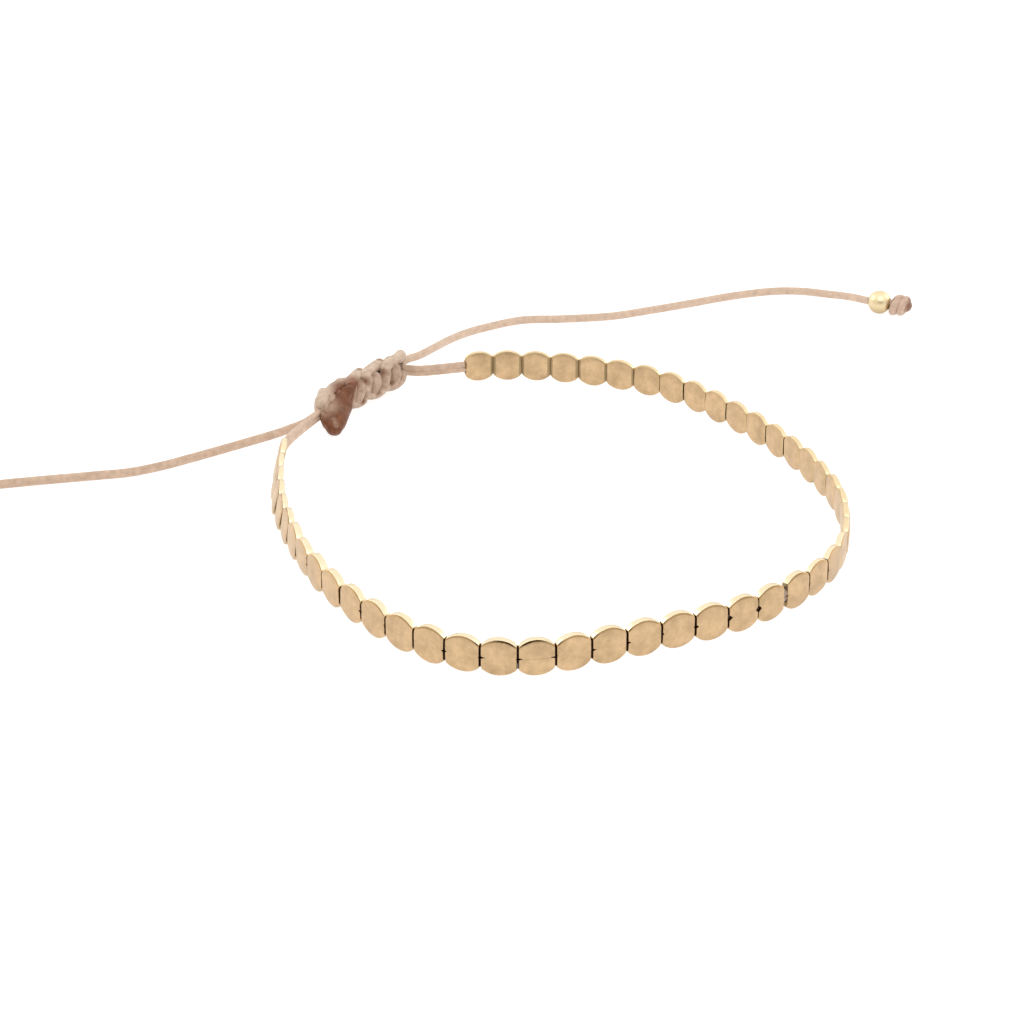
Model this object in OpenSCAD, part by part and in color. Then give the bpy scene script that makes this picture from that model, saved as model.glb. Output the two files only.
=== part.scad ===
// Beaded bracelet: a loop of flat barrel beads standing on edge on a cord,
// closed by a sliding knot, with two loose tails.

/* [Beads] */
// Height of a bead, from its lower arc to its upper arc
bead_h = 3.6; // [3.4:0.05:3.8]
// Width of a bead along the row
bead_w = 3.15; // [3:0.05:3.15]
// Thickness of a bead in its middle
bead_t = 1.4; // [1.25:0.05:1.5]
// Height of the straight side edges
side_h = 2.45; // [2.2:0.05:2.7]
// Thickness at the top of the upper arc
rim_t = 0.75; // [0.65:0.05:0.9]
// Thickness left at the bevelled side edges
side_t = 0.6; // [0.5:0.05:0.7]
// Width of the bevel along each side edge
side_bevel = 0.35; // [0.2:0.05:0.4]
// Height of the hole along the row
slot_h = 1.5; // [1.45:0.05:1.6]
// Thickness of the hole along the row
slot_t = 0.8; // [0.78:0.01:0.86]
// Mean inward lean of the beads, in degrees
bead_lean = 1.5; // [1:0.1:2]

/* [Cord] */
// Height of the flattened cord inside the beads
strand_h = 1.3; // [1.2:0.02:1.36]
// Thickness of the flattened cord inside the beads
strand_t = 0.66; // [0.5:0.02:0.66]
// Diameter of the two tails
tail_d = 0.96; // [0.8:0.02:1]

/* [Sliding knot] */
// Diameter over the lobes of the knot
knot_d = 4.1; // [3.9:0.05:4.2]
// Diameter in the creases between the lobes
crease_d = 3.4; // [3.2:0.05:3.6]
// Diameter over the first, tapered square knot of the sinnet
first_lobe_d = 3.6; // [3.5:0.05:3.8]
// Number of square knots in the sinnet
knot_lobes = 5; // [4:1:6]
// Diameter of the thickest part of the melted end
singed_d = 3.4; // [3:0.1:3.5]

/* [Tail ends] */
// Diameter of the ball on each tail
ball_d = 2.9; // [2.8:0.05:3.1]
// Diameter of the hole through a ball
ball_bore = 1.2; // [1.15:0.05:1.4]
// Diameter of the stopper knot at each tail's end
stopper_d = 2.7; // [2.4:0.05:2.8]

/* [Hidden] */
$fn = 48;
// Facets of the large, shallow arcs and domes of a bead
FINE = 144;
// The row in stretches: beads in the stretch, turn at each bead in degrees, gap to the next
BEADS = 0;
TURN = 1;
GAP = 2;
STRETCHES = [
    [3, 7.5, 0.2],
    [3, 5.5, 0.2],
    [3, 9, 0.35],
    [4, 3, 0.4],
    [4, 4, 0.15],
    [3, 7, 0.1],
    [3, 10.5, 0.1],
    [4, 6, 0.25],
    [4, 1, 0.3],
    [2, 13.5, 0.15],
    [2, 14, 0.15],
    [2, 7.5, 0.4],
    [2, 4.5, 0.45],
    [3, 4.5, 0.35],
    [3, 3.5, 0.15],
    [3, 2, 0.15]
];
TURNS = [for (s = STRETCHES) for (k = [1:s[BEADS]]) s[TURN]];
GAPS = [for (s = STRETCHES) for (k = [1:s[BEADS]]) s[GAP]];
COUNT = len(TURNS);
// The bead before the one wide gap where the cord shows, and what that gap has extra
WIDE_AFTER = 24;
WIDE = 0.3;
// Where the row starts beside the knot, and the first bead's direction from +X
ROW_START = [-10.13, 32.72];
FIRST_HEADING = 8;
// How far single beads differ from the mean lean and from upright, in degrees
LEAN_SPREAD = 1;
ROCK_SPREAD = 0.6;
LEAN_STEP = 137;
ROCK_STEP = 211;
// Outline arcs and face domes of a bead
SAG = (bead_h - side_h) / 2;
ARC_R = (pow(bead_w / 2, 2) + pow(SAG, 2)) / (2 * SAG);
DOME = (bead_t - rim_t) / 2;
DOME_R = (pow(bead_h / 2, 2) + pow(DOME, 2)) / (2 * DOME);
SLOT_CORNER = 0.2;
CORD_SIDES = 8;
// Ends of the sliding knot's axis, and its clearance to the cords and the melted end
KNOT_LEFT = [-25.2, 21.7, knot_d / 2];
KNOT_RIGHT = [-17.4, 31.8, knot_d / 2];
CLEAR = 0.05;
LOBE_STEPS = 8;
// Bare leads of the strand: from the knot to the first bead, and from the last bead to the knot
RIGHT_LEAD = [[-16.65, 31.7, 1.8], [-15.5, 31.5, 1.8], [-14, 31.7, 1.8], [-12, 32.3, 1.8]];
LEFT_LEAD = [[-28.7, 12.3, 1.8], [-27.7, 15.1, 1.8], [-26.6, 17.5, 1.85], [-25.8, 19.3, 1.85], [-25.1, 21.1, 1.85]];
// Routes of the tails, from the knot to the ball
RIGHT_TAIL = [
    [-17.6, 32.3, 2.4], [-16.7, 33.6, 2.4], [-15.4, 35.5, 2.1], [-14, 38.5, 1.7], [-12.4, 42.6, 1],
    [-10.6, 45.7, 0.6], [-8.1, 48, 0.5], [-3.4, 50.6, 0.5], [1.5, 51, 0.5], [7.6, 51.9, 0.5],
    [12.6, 53.9, 0.5], [17.5, 56.1, 0.5], [23.2, 58.8, 0.5], [28.4, 60.5, 0.5], [32.3, 60.6, 0.5],
    [36, 59.2, 0.6], [38.2, 57, 1.1], [40, 54.8, 1.45]
];
LEFT_TAIL = [
    [-25.8, 21.4, 1.2], [-26.7, 19.7, 1.15], [-27.6, 18.3, 1.1], [-29.1, 17.3, 0.9], [-30.6, 16.4, 0.7],
    [-33.5, 14.7, 0.5], [-36.2, 12.7, 0.5], [-39, 10.7, 0.5], [-41.8, 8.8, 0.5], [-45, 7.2, 0.5],
    [-48.5, 6.4, 0.5], [-54.7, 5.1, 0.5], [-60, 3.8, 0.5], [-65, 2, 0.5], [-70, -0.3, 0.5],
    [-75, -2.8, 0.5], [-80, -4.8, 0.5], [-84, -6, 0.6], [-86.5, -6.7, 1.1], [-88.6, -7.3, 1.45]
];
ROUTE_STEPS = 3;
// Directions of the two balls' holes from +X, away from the knot
RIGHT_END = -18;
LEFT_END = 196;
// Melted end of the knot's own cord: centres and share of its diameter, from the knot to the surface
SINGED = [
    [[-23.4, 22.6, 2.8], 0.7],
    [[-23.7, 20.9, 2.3], 0.94],
    [[-24, 18.9, 1.8], 1],
    [[-24.2, 17.6, 1.4], 0.76]
];
// How far a stopper knot's axis lies below the ball's centre, and how much its waist narrows
STOPPER_DROP = 0.15;
WAIST = 0.12;
STOPPER_STEPS = 18;
GOLD = [0.86, 0.7, 0.45];
TAN = [0.85, 0.71, 0.61];
BROWN = [0.5, 0.3, 0.22];

FIXED_NODES = [
    "strand_cord", "slide_knot", "singed_end", "tail_right", "tail_left",
    "tail_ball_right", "tail_ball_left", "end_knot_right", "end_knot_left"
];

// Name of a bead's node, with two digits
function bead_name(i) = str("bead_", i < 10 ? "0" : "", i);

function unit(v) = v / norm(v);
function flat_dir(a) = [cos(a), sin(a)];
function total(v, n) = n < 1 ? 0 : v[n - 1] + total(v, n - 1);

// Direction of bead i from +X, where the first bead is 1: the row turns clockwise
function heading(i) = FIRST_HEADING - total(TURNS, i) + TURNS[0];
// Length of the row that bead i takes, its gap included
function pitch(i) = bead_w + GAPS[i - 1];
// Middle of the gap after bead i, where 0 is the free side of the first bead
function seam(i) = i == 0 ? ROW_START
    : seam(i - 1) + (pitch(i) + (i == WIDE_AFTER ? WIDE : 0)) * flat_dir(heading(i));
function lean(i) = bead_lean + LEAN_SPREAD * sin(LEAN_STEP * i);
function rock(i) = ROCK_SPREAD * sin(ROCK_STEP * i);
// Height of a leaning bead's centre above the surface
function centre_z(a) = bead_h / 2 * cos(a) + rim_t / 2 * sin(a);
SEAMS = [for (i = [0:COUNT]) seam(i)];

// Point at share t of the way from b to c on a smooth curve through a, b, c and d
function between(a, b, c, d, t) =
    0.5 * (2 * b + (c - a) * t + (2 * a - 5 * b + 4 * c - d) * t * t + (3 * b - a - 3 * c + d) * t * t * t);
// A route with extra points on a smooth curve through the given ones
function smooth(p, n) = let (last = len(p) - 1) concat(
    [for (i = [0:last - 1]) for (k = [0:n - 1])
        between(p[max(i - 1, 0)], p[i], p[i + 1], p[min(i + 2, last)], k / n)],
    [p[last]]
);
function course(p, i) = unit(p[min(i + 1, len(p) - 1)] - p[max(i - 1, 0)]);

// Cord along a route: w is its width across, h its height
module cord(p, w, h) {
    half = 180 / CORD_SIDES;
    grow = 1 / cos(half) / 2;
    last = len(p) - 1;
    corners = [
        for (i = [0:last])
            let (d = course(p, i), across = unit(cross([0, 0, 1], d)), up = cross(d, across))
                for (k = [0:CORD_SIDES - 1])
                    let (a = half * (2 * k + 1))
                        p[i] + across * w * grow * cos(a) + up * h * grow * sin(a)
    ];
    sides = [
        for (i = [0:last - 1]) for (k = [0:CORD_SIDES - 1])
            let (n = (k + 1) % CORD_SIDES, a = i * CORD_SIDES, b = a + CORD_SIDES)
                [a + k, b + k, b + n, a + n]
    ];
    first_cap = [for (k = [0:CORD_SIDES - 1]) k];
    last_cap = [for (k = [CORD_SIDES - 1:-1:0]) last * CORD_SIDES + k];
    polyhedron(corners, concat(sides, [first_cap, last_cap]), convexity = 6);
}

// Front outline of a bead: straight sides, and an arc above and below
module bead_outline() {
    intersection() {
        square([bead_w, bead_h], center = true);
        translate([0, bead_h / 2 - ARC_R]) circle(ARC_R, $fn = FINE);
        translate([0, ARC_R - bead_h / 2]) circle(ARC_R, $fn = FINE);
    }
}

// A bead with its centre at the origin, its hole along X and its faces towards Y
module bead_solid() {
    half_w = bead_w / 2;
    half_t = bead_t / 2;
    shoulder = half_w - side_bevel;
    plan = [
        [half_w, -side_t / 2], [half_w, side_t / 2], [shoulder, half_t], [-shoulder, half_t],
        [-half_w, side_t / 2], [-half_w, -side_t / 2], [-shoulder, -half_t], [shoulder, -half_t]
    ];
    difference() {
        intersection() {
            rotate([90, 0, 0]) linear_extrude(bead_t, center = true) bead_outline();
            linear_extrude(bead_h, center = true) polygon(plan);
            translate([0, half_t - DOME_R, 0]) sphere(DOME_R, $fn = FINE);
            translate([0, DOME_R - half_t, 0]) sphere(DOME_R, $fn = FINE);
        }
        slot();
    }
}

// Flattened hole with cut corners along X
module slot() {
    y = slot_t / 2;
    z = slot_h / 2;
    c = SLOT_CORNER;
    rotate([90, 0, 90]) linear_extrude(2 * bead_w, center = true) polygon([
        [y, c - z], [y, z - c], [y - c, z], [c - y, z], [-y, z - c], [-y, c - z], [c - y, -z], [y - c, -z]
    ]);
}

module bead(i) {
    place = SEAMS[i - 1] + pitch(i) / 2 * flat_dir(heading(i));
    color(GOLD) translate([place[0], place[1], centre_z(lean(i))])
        rotate([0, 0, heading(i)]) rotate([lean(i), 0, 0]) rotate([0, rock(i), 0]) bead_solid();
}

module strand_cord() {
    z = centre_z(bead_lean);
    row = [for (s = SEAMS) [s[0], s[1], z]];
    color(TAN) cord(concat(RIGHT_LEAD, row, LEFT_LEAD), strand_t, strand_h);
}

// The knot's body round its axis: one bulge per square knot, grown by extra all round
module knot_body(extra) {
    axis = KNOT_RIGHT - KNOT_LEFT;
    length = norm(axis);
    low = crease_d / 2;
    steps = knot_lobes * LOBE_STEPS;
    edge = [
        for (i = [0:steps])
            let (u = 2 * (i % LOBE_STEPS) / LOBE_STEPS - 1, top = i < LOBE_STEPS ? first_lobe_d : knot_d)
                [low + (top - crease_d) / 2 * sqrt(1 - u * u) + extra, (length + 2 * extra) * i / steps - extra]
    ];
    translate(KNOT_LEFT) rotate([0, 90, atan2(axis[1], axis[0])])
        rotate_extrude() polygon(concat([[0, -extra]], edge, [[0, length + extra]]));
}

module slide_knot() {
    color(TAN) knot_body(0);
}

module singed_end() {
    color(BROWN) difference() {
        for (s = SINGED) translate(s[0]) sphere(s[1] * singed_d / 2);
        knot_body(CLEAR);
        cord(concat(LEFT_LEAD, [KNOT_LEFT]), strand_t + 2 * CLEAR, strand_h + 2 * CLEAR);
    }
}

// Centre of a tail's ball, where the hole points along flat angle a, and the cord's tip behind it
function ball_centre(route, a) = route[len(route) - 1] + (ball_d / 2 + CLEAR) * [cos(a), sin(a), 0];
function tail_tip(route, a) = ball_centre(route, a) + (ball_d / 2 + CLEAR) * [cos(a), sin(a), 0];

// Tail from the knot through its ball
module tail(route, a) {
    color(TAN) cord(concat(smooth(route, ROUTE_STEPS), [ball_centre(route, a), tail_tip(route, a)]), tail_d, tail_d);
}

module tail_ball(route, a) {
    color(GOLD) translate(ball_centre(route, a)) rotate([0, 90, a]) difference() {
        sphere(ball_d / 2);
        cylinder(h = 2 * ball_d, d = ball_bore, center = true);
    }
}

// Radius of a stopper knot at height z on its axis: two turns of cord side by side, rounded at the ends
function turns_r(z) = let (s = 2 * z / stopper_d - 1)
    stopper_d / 2 * sqrt(1 - pow(abs(s), 3)) * (1 - WAIST * pow(cos(90 * s), 4));

// Stopper knot behind the ball
module end_knot(route, a) {
    edge = [for (i = [0:STOPPER_STEPS]) let (z = stopper_d * i / STOPPER_STEPS) [turns_r(z), z]];
    color(TAN) translate(tail_tip(route, a) + [CLEAR * cos(a), CLEAR * sin(a), -STOPPER_DROP])
        rotate([0, 90, a]) rotate_extrude() polygon(edge);
}

module tail_right() { tail(RIGHT_TAIL, RIGHT_END); }
module tail_left() { tail(LEFT_TAIL, LEFT_END); }
module tail_ball_right() { tail_ball(RIGHT_TAIL, RIGHT_END); }
module tail_ball_left() { tail_ball(LEFT_TAIL, LEFT_END); }
module end_knot_right() { end_knot(RIGHT_TAIL, RIGHT_END); }
module end_knot_left() { end_knot(LEFT_TAIL, LEFT_END); }

for (i = [1:COUNT]) bead(i);
strand_cord();
slide_knot();
singed_end();
tail_right();
tail_left();
tail_ball_right();
tail_ball_left();
end_knot_right();
end_knot_left();
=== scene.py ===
"""Beaded bracelet: flat gold barrel beads on edge on a braided cord, a sliding knot and two loose tails."""

import math
import random

import bpy
import numpy as np
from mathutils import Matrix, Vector, noise


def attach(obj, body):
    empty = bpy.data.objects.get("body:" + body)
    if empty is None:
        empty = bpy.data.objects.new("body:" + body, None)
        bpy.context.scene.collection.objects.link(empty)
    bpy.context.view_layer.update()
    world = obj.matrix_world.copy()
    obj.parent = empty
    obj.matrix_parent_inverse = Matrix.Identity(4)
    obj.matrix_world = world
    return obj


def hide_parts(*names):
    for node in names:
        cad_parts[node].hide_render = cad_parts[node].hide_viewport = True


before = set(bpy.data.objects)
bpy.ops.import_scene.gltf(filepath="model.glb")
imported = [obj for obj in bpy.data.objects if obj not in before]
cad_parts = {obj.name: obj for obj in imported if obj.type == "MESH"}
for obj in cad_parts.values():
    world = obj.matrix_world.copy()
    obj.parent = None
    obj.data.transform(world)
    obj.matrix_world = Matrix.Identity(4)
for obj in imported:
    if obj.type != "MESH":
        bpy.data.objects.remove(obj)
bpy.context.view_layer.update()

MM = 0.001
BEADS = 48
BODY = "root"
scene = bpy.context.scene


# Camera at the photograph's angle: its lens in millimetres, its place in metres and its turn in degrees

CAMERA_LENS = 75
CAMERA_SENSOR = 36
CAMERA_SEES = (0.005, 20)
CAMERA_AT = (-0.0046, -0.19598, 0.09843)
CAMERA_TURN = 63.2

camera_data = bpy.data.cameras.new("camera")
camera_data.lens = CAMERA_LENS
camera_data.sensor_width = CAMERA_SENSOR
camera_data.clip_start, camera_data.clip_end = CAMERA_SEES
camera = bpy.data.objects.new("camera", camera_data)
camera.location = CAMERA_AT
camera.rotation_euler = (math.radians(CAMERA_TURN), 0, 0)
scene.collection.objects.link(camera)
scene.camera = camera


# Routes, in millimetres, and lines along them

RIGHT_TAIL = [
    (-17.6, 32.3, 2.4), (-16.7, 33.6, 2.4), (-15.4, 35.5, 2.1), (-14, 38.5, 1.7), (-12.4, 42.6, 1),
    (-10.6, 45.7, 0.6), (-8.1, 48, 0.5), (-3.4, 50.6, 0.5), (1.5, 51, 0.5), (7.6, 51.9, 0.5),
    (12.6, 53.9, 0.5), (17.5, 56.1, 0.5), (23.2, 58.8, 0.5), (28.4, 60.5, 0.5), (32.3, 60.6, 0.5),
    (36, 59.2, 0.6), (38.2, 57, 1.1), (40, 54.8, 1.45),
]
LEFT_TAIL = [
    (-25.8, 21.4, 1.2), (-26.7, 19.7, 1.15), (-27.6, 18.3, 1.1), (-29.1, 17.3, 0.9), (-30.6, 16.4, 0.7),
    (-33.5, 14.7, 0.5), (-36.2, 12.7, 0.5), (-39, 10.7, 0.5), (-41.8, 8.8, 0.5), (-45, 7.2, 0.5),
    (-48.5, 6.4, 0.5), (-54.7, 5.1, 0.5), (-60, 3.8, 0.5), (-65, 2, 0.5), (-70, -0.3, 0.5),
    (-75, -2.8, 0.5), (-80, -4.8, 0.5), (-84, -6, 0.6), (-86.5, -6.7, 1.1), (-88.6, -7.3, 1.45),
]
# Directions in degrees in which the tails enter their balls
RIGHT_END = -18
LEFT_END = 196
# The strand's bare leads, outside the beads
RIGHT_LEAD = [(-17.4, 31.5, 1.9), (-16.65, 31.7, 1.8), (-15.5, 31.5, 1.8), (-14, 31.7, 1.8), (-12, 32.3, 1.8)]
LEFT_LEAD = [
    (-28.7, 12.3, 1.8), (-27.7, 15.1, 1.8), (-26.6, 17.5, 1.85), (-25.8, 19.3, 1.85), (-25.1, 21.1, 1.85),
]
KNOT_LEFT = np.array((-25.2, 21.7, 2.05))
KNOT_RIGHT = np.array((-17.4, 31.8, 2.05))
BALL_R = 1.45
BALL_CLEAR = 0.05
TAIL_R = 0.475
TAIL_SIDES = 30
CORD_STEP = 0.11
LEAST_POINTS = 12
LEAST_Z = 0.02
UP = np.array((0.0, 0.0, 1.0))


def unit(v):
    return v / np.linalg.norm(v)


def smooth_line(points, steps):
    """Points on a smooth curve through the given ones."""
    p = np.asarray(points, float)
    last = len(p) - 1
    out = []
    for i in range(last):
        a, b, c, d = p[max(i - 1, 0)], p[i], p[i + 1], p[min(i + 2, last)]
        for k in range(steps):
            t = k / steps
            bend = (2 * a - 5 * b + 4 * c - d) * t**2 + (3 * b - a - 3 * c + d) * t**3
            out.append(0.5 * (2 * b + (c - a) * t + bend))
    out.append(p[last])
    return np.array(out)


def line_length(p):
    return np.concatenate(([0], np.cumsum(np.linalg.norm(np.diff(p, axis=0), axis=1))))


def resample(p, at):
    """Points at the given distances along a line."""
    s = line_length(p)
    return np.stack([np.interp(at, s, p[:, k]) for k in range(3)], axis=1)


def spaced(line, step):
    """The same line with its points about a step apart."""
    total = line_length(line)[-1]
    return resample(line, np.linspace(0, total, max(LEAST_POINTS, int(total / step))))


def frames(p, hint):
    """Side and up vectors along a line, without twist."""
    tangent = np.gradient(p, axis=0)
    tangent /= np.linalg.norm(tangent, axis=1)[:, None]
    up = unit(hint - np.dot(hint, tangent[0]) * tangent[0])
    ups = []
    for t in tangent:
        up = unit(up - np.dot(up, t) * t)
        ups.append(up)
    ups = np.array(ups)
    return np.cross(ups, tangent), ups


# Mesh pieces

def make_piece(name, verts, faces, materials, nodes, kinds=None, uvs=None):
    """A smooth mesh piece in metres from points in millimetres, which rides on the body."""
    mesh = bpy.data.meshes.new(name)
    mesh.from_pydata((np.asarray(verts) * MM).tolist(), [], faces)
    for material in materials:
        mesh.materials.append(material)
    mesh.polygons.foreach_set("use_smooth", [True] * len(mesh.polygons))
    if kinds is not None:
        mesh.polygons.foreach_set("material_index", kinds)
    if uvs is not None:
        layer = mesh.uv_layers.new(name="along")
        loops = np.empty(len(mesh.loops), dtype=np.int32)
        mesh.loops.foreach_get("vertex_index", loops)
        layer.data.foreach_set("uv", np.asarray(uvs)[loops].ravel())
    mesh.update()
    mesh.validate()
    piece = bpy.data.objects.new(name, mesh)
    scene.collection.objects.link(piece)
    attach(piece, BODY)
    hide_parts(*nodes)
    return piece


BRAID_MEAN = 0.6
LEAST_END = 0.02


def braid(u, angle, carriers, cell):
    """Height from 0 to 1 of a diamond braid at distance u and at an angle round the cord."""
    a = carriers / 2 * angle + math.pi * u / cell
    b = carriers / 2 * angle - math.pi * u / cell
    return np.sqrt(np.abs(np.sin(a) * np.sin(b)))


def sweep(
    line, across, height, sides, hint=UP, carriers=10, cell=0.36, depth=0.022, start=0, round_ends=True,
):
    """Braided cord along a line: points, faces, and the points' distances and angles."""
    side, up = frames(line, hint)
    s = line_length(line)
    angle = np.linspace(0, 2 * math.pi, sides, endpoint=False)
    cos = np.cos(angle)[None, :, None]
    sin = np.sin(angle)[None, :, None]
    across = np.broadcast_to(across, s.shape)[:, None, None]
    height = np.broadcast_to(height, s.shape)[:, None, None]
    relief = depth * (braid(s[:, None] + start, angle[None, :], carriers, cell) - BRAID_MEAN)[:, :, None]
    ring = (across + relief) * cos * side[:, None, :] + (height + relief) * sin * up[:, None, :]
    if round_ends:
        reach = float(np.mean(across))
        end = np.minimum(s, s[-1] - s)
        close = np.sqrt(np.clip(1 - (1 - np.clip(end / reach, 0, 1)) ** 2, LEAST_END, 1))
        ring = ring * close[:, None, None]
    verts = (line[:, None, :] + ring).reshape(-1, 3)
    uvs = np.stack(np.broadcast_arrays((s[:, None] + start) * MM, angle[None, :] / (2 * math.pi)), axis=-1)
    uvs = uvs.reshape(-1, 2)
    faces = []
    for i in range(len(line) - 1):
        a = i * sides
        for k in range(sides):
            n = (k + 1) % sides
            faces.append((a + k, a + n, a + sides + n, a + sides + k))
    faces.append(tuple(range(sides - 1, -1, -1)))
    last = (len(line) - 1) * sides
    faces.append(tuple(range(last, last + sides)))
    return verts, faces, uvs


def merge(parts):
    """Several swept cords as one set of points and faces."""
    verts, faces, uvs = [], [], []
    base = 0
    for v, f, t in parts:
        verts.append(v)
        uvs.append(t)
        faces += [tuple(i + base for i in face) for face in f]
        base += len(v)
    return np.concatenate(verts), faces, np.concatenate(uvs)


# Materials

# Part of a noise's range in which tones change
CLOUDY = (0.3, 0.7)
STREAKY = (0.35, 0.65)
# Heights in metres between which painted shade darkens a ball towards its foot
BALL_FOOT = (0.0003, 0.0023)
GRAIN_HEIGHT = 0.00002
THREAD_HEIGHT = 0.00003
FIBRE_SCALE = (1800, 10, 1)
FIBRE_TURN = 0.35


def new_material(name):
    material = bpy.data.materials.new(name)
    material.use_nodes = True
    nodes = material.node_tree.nodes
    return material, nodes, material.node_tree.links, nodes["Principled BSDF"]


def noise_node(nodes, links, source, scale, detail, rough):
    node = nodes.new("ShaderNodeTexNoise")
    node.inputs["Scale"].default_value = scale
    node.inputs["Detail"].default_value = detail
    node.inputs["Roughness"].default_value = rough
    links.new(source, node.inputs["Vector"])
    return node.outputs["Fac"]


def mix_colour(nodes, links, factor, low, high):
    node = nodes.new("ShaderNodeMix")
    node.data_type = "RGBA"
    links.new(factor, node.inputs["Factor"])
    for socket, value in ((node.inputs[6], low), (node.inputs[7], high)):
        if isinstance(value, tuple):
            socket.default_value = (*value, 1)
        else:
            links.new(value, socket)
    return node.outputs[2]


def remap(nodes, links, source, span, to_low, to_high):
    """The source's span mapped to a range, and held at its ends outside the span."""
    node = nodes.new("ShaderNodeMapRange")
    ends = {"From Min": span[0], "From Max": span[1], "To Min": to_low, "To Max": to_high}
    for name, value in ends.items():
        node.inputs[name].default_value = value
    links.new(source, node.inputs["Value"])
    return node.outputs["Result"]


def distance_from(nodes, links, place, centre):
    """Distance of each point of the surface from a centre in metres."""
    node = nodes.new("ShaderNodeVectorMath")
    node.operation = "DISTANCE"
    links.new(place, node.inputs[0])
    node.inputs[1].default_value = centre
    return node.outputs["Value"]


def height_of(nodes, links, place):
    node = nodes.new("ShaderNodeSeparateXYZ")
    links.new(place, node.inputs["Vector"])
    return node.outputs["Z"]


def add_bump(nodes, links, bsdf, height, strength, distance):
    node = nodes.new("ShaderNodeBump")
    node.inputs["Strength"].default_value = strength
    node.inputs["Distance"].default_value = distance
    links.new(height, node.inputs["Height"])
    links.new(node.outputs["Normal"], bsdf.inputs["Normal"])


def gold_material(name, low, high, rough, grain, lacquer=0, foot=None):
    """Plated metal with soft mottling, at the scale of a few tenths of a millimetre, and if asked, painted
    shade darkening it towards its foot.
    """
    material, nodes, links, bsdf = new_material(name)
    place = nodes.new("ShaderNodeTexCoord").outputs["Object"]
    cloud = noise_node(nodes, links, place, scale=600, detail=5, rough=0.72)
    fine = noise_node(nodes, links, place, scale=9000, detail=2, rough=0.6)
    colour = mix_colour(nodes, links, remap(nodes, links, cloud, CLOUDY, 0, 1), low, high)
    if foot:
        lower = remap(nodes, links, height_of(nodes, links, place), BALL_FOOT, 1, 0)
        colour = mix_colour(nodes, links, lower, colour, foot)
    links.new(colour, bsdf.inputs["Base Color"])
    links.new(remap(nodes, links, cloud, CLOUDY, *rough), bsdf.inputs["Roughness"])
    bsdf.inputs["Metallic"].default_value = 1
    bsdf.inputs["Coat Weight"].default_value = lacquer
    bsdf.inputs["Coat Roughness"].default_value = 0.3
    add_bump(nodes, links, bsdf, fine, grain, GRAIN_HEIGHT)
    return material


# Each gold's name, two tones, least and most roughness, and grain
FACE_GOLD = gold_material(
    "satin_gold", (0.41, 0.275, 0.145), (0.70, 0.49, 0.28), (0.36, 0.52), 0.7, lacquer=0.3,
)
# The rims' polish is real, but their pale, whitish tone is a painted highlight
RIM_GOLD = gold_material("polished_gold_painted_highlight", (0.93, 0.78, 0.52), (0.96, 0.83, 0.59), (0.24, 0.32), 0.05)
# The back row's rims: the same painted highlight, dimmed by painted shade
BACK_RIM_SHADE_GOLD = gold_material("back_rim_gold_painted_shade", (0.87, 0.68, 0.41), (0.92, 0.74, 0.47), (0.27, 0.35), 0.05)
BEVEL_GOLD = gold_material("shaded_gold", (0.31, 0.225, 0.12), (0.44, 0.325, 0.18), (0.42, 0.55), 0.4)
# Painted shade, lighter than the bevels' deep shade, for the inner bevels, the inner chamfer and shut end
# walls
COLUMN_SHADE_GOLD = gold_material("column_gold_painted_shade", (0.52, 0.385, 0.21), (0.68, 0.51, 0.30), (0.42, 0.55), 0.4)
# Painted dark reflection: the outer chamfer between face and rim is darker, as if it mirrored a dark studio
# wall
EDGE_REFLECTION_GOLD = gold_material("edge_gold_painted_reflection", (0.46, 0.29, 0.13), (0.56, 0.36, 0.175), (0.12, 0.18), 0.05)
# Painted shade inside the beads' holes and the balls' bores
HOLE_SHADE_GOLD = gold_material("hole_gold_painted_shade", (0.20, 0.12, 0.06), (0.30, 0.19, 0.09), (0.5, 0.6), 0.2)
# Painted deep shade for the walls of open seams and the strips of face beside them
SEAM_SHADE_GOLD = gold_material("seam_gold_painted_shade", (0.09, 0.045, 0.02), (0.15, 0.075, 0.035), (0.5, 0.6), 0.2)
# The ball's tone darkens towards its foot: painted shade
BALL_GOLD = gold_material(
    "bright_gold_shaded_foot", (0.84, 0.69, 0.42), (0.92, 0.78, 0.51), (0.34, 0.44), 0.15, foot=(0.50, 0.375, 0.22),
)


def cord_material(name, base, dark, stains_and_shades=()):
    """Satin braided nylon: fine fibres along the braid, small patches of tone, and round spots, some real
    stains and some painted shade.
    """
    material, nodes, links, bsdf = new_material(name)
    coords = nodes.new("ShaderNodeTexCoord")
    place = coords.outputs["Object"]
    fibre = nodes.new("ShaderNodeMapping")
    fibre.inputs["Scale"].default_value = FIBRE_SCALE
    fibre.inputs["Rotation"].default_value = (0, 0, FIBRE_TURN)
    links.new(coords.outputs["UV"], fibre.inputs["Vector"])
    threads = noise_node(nodes, links, fibre.outputs["Vector"], scale=3, detail=3, rough=0.6)
    patches = noise_node(nodes, links, place, scale=1500, detail=3, rough=0.6)
    colour = mix_colour(nodes, links, remap(nodes, links, patches, CLOUDY, 0, 1), base, dark)
    for centre, reach, tone in stains_and_shades:
        away = distance_from(nodes, links, place, [c * MM for c in centre])
        amount = remap(nodes, links, away, [r * MM for r in reach], 1, 0)
        colour = mix_colour(nodes, links, amount, colour, tone)
    links.new(colour, bsdf.inputs["Base Color"])
    bsdf.inputs["Roughness"].default_value = 0.5
    bsdf.inputs["Specular IOR Level"].default_value = 0.3
    bsdf.inputs["Sheen Weight"].default_value = 0.15
    bsdf.inputs["Sheen Roughness"].default_value = 0.4
    add_bump(nodes, links, bsdf, threads, 0.35, THREAD_HEIGHT)
    return material


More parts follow.
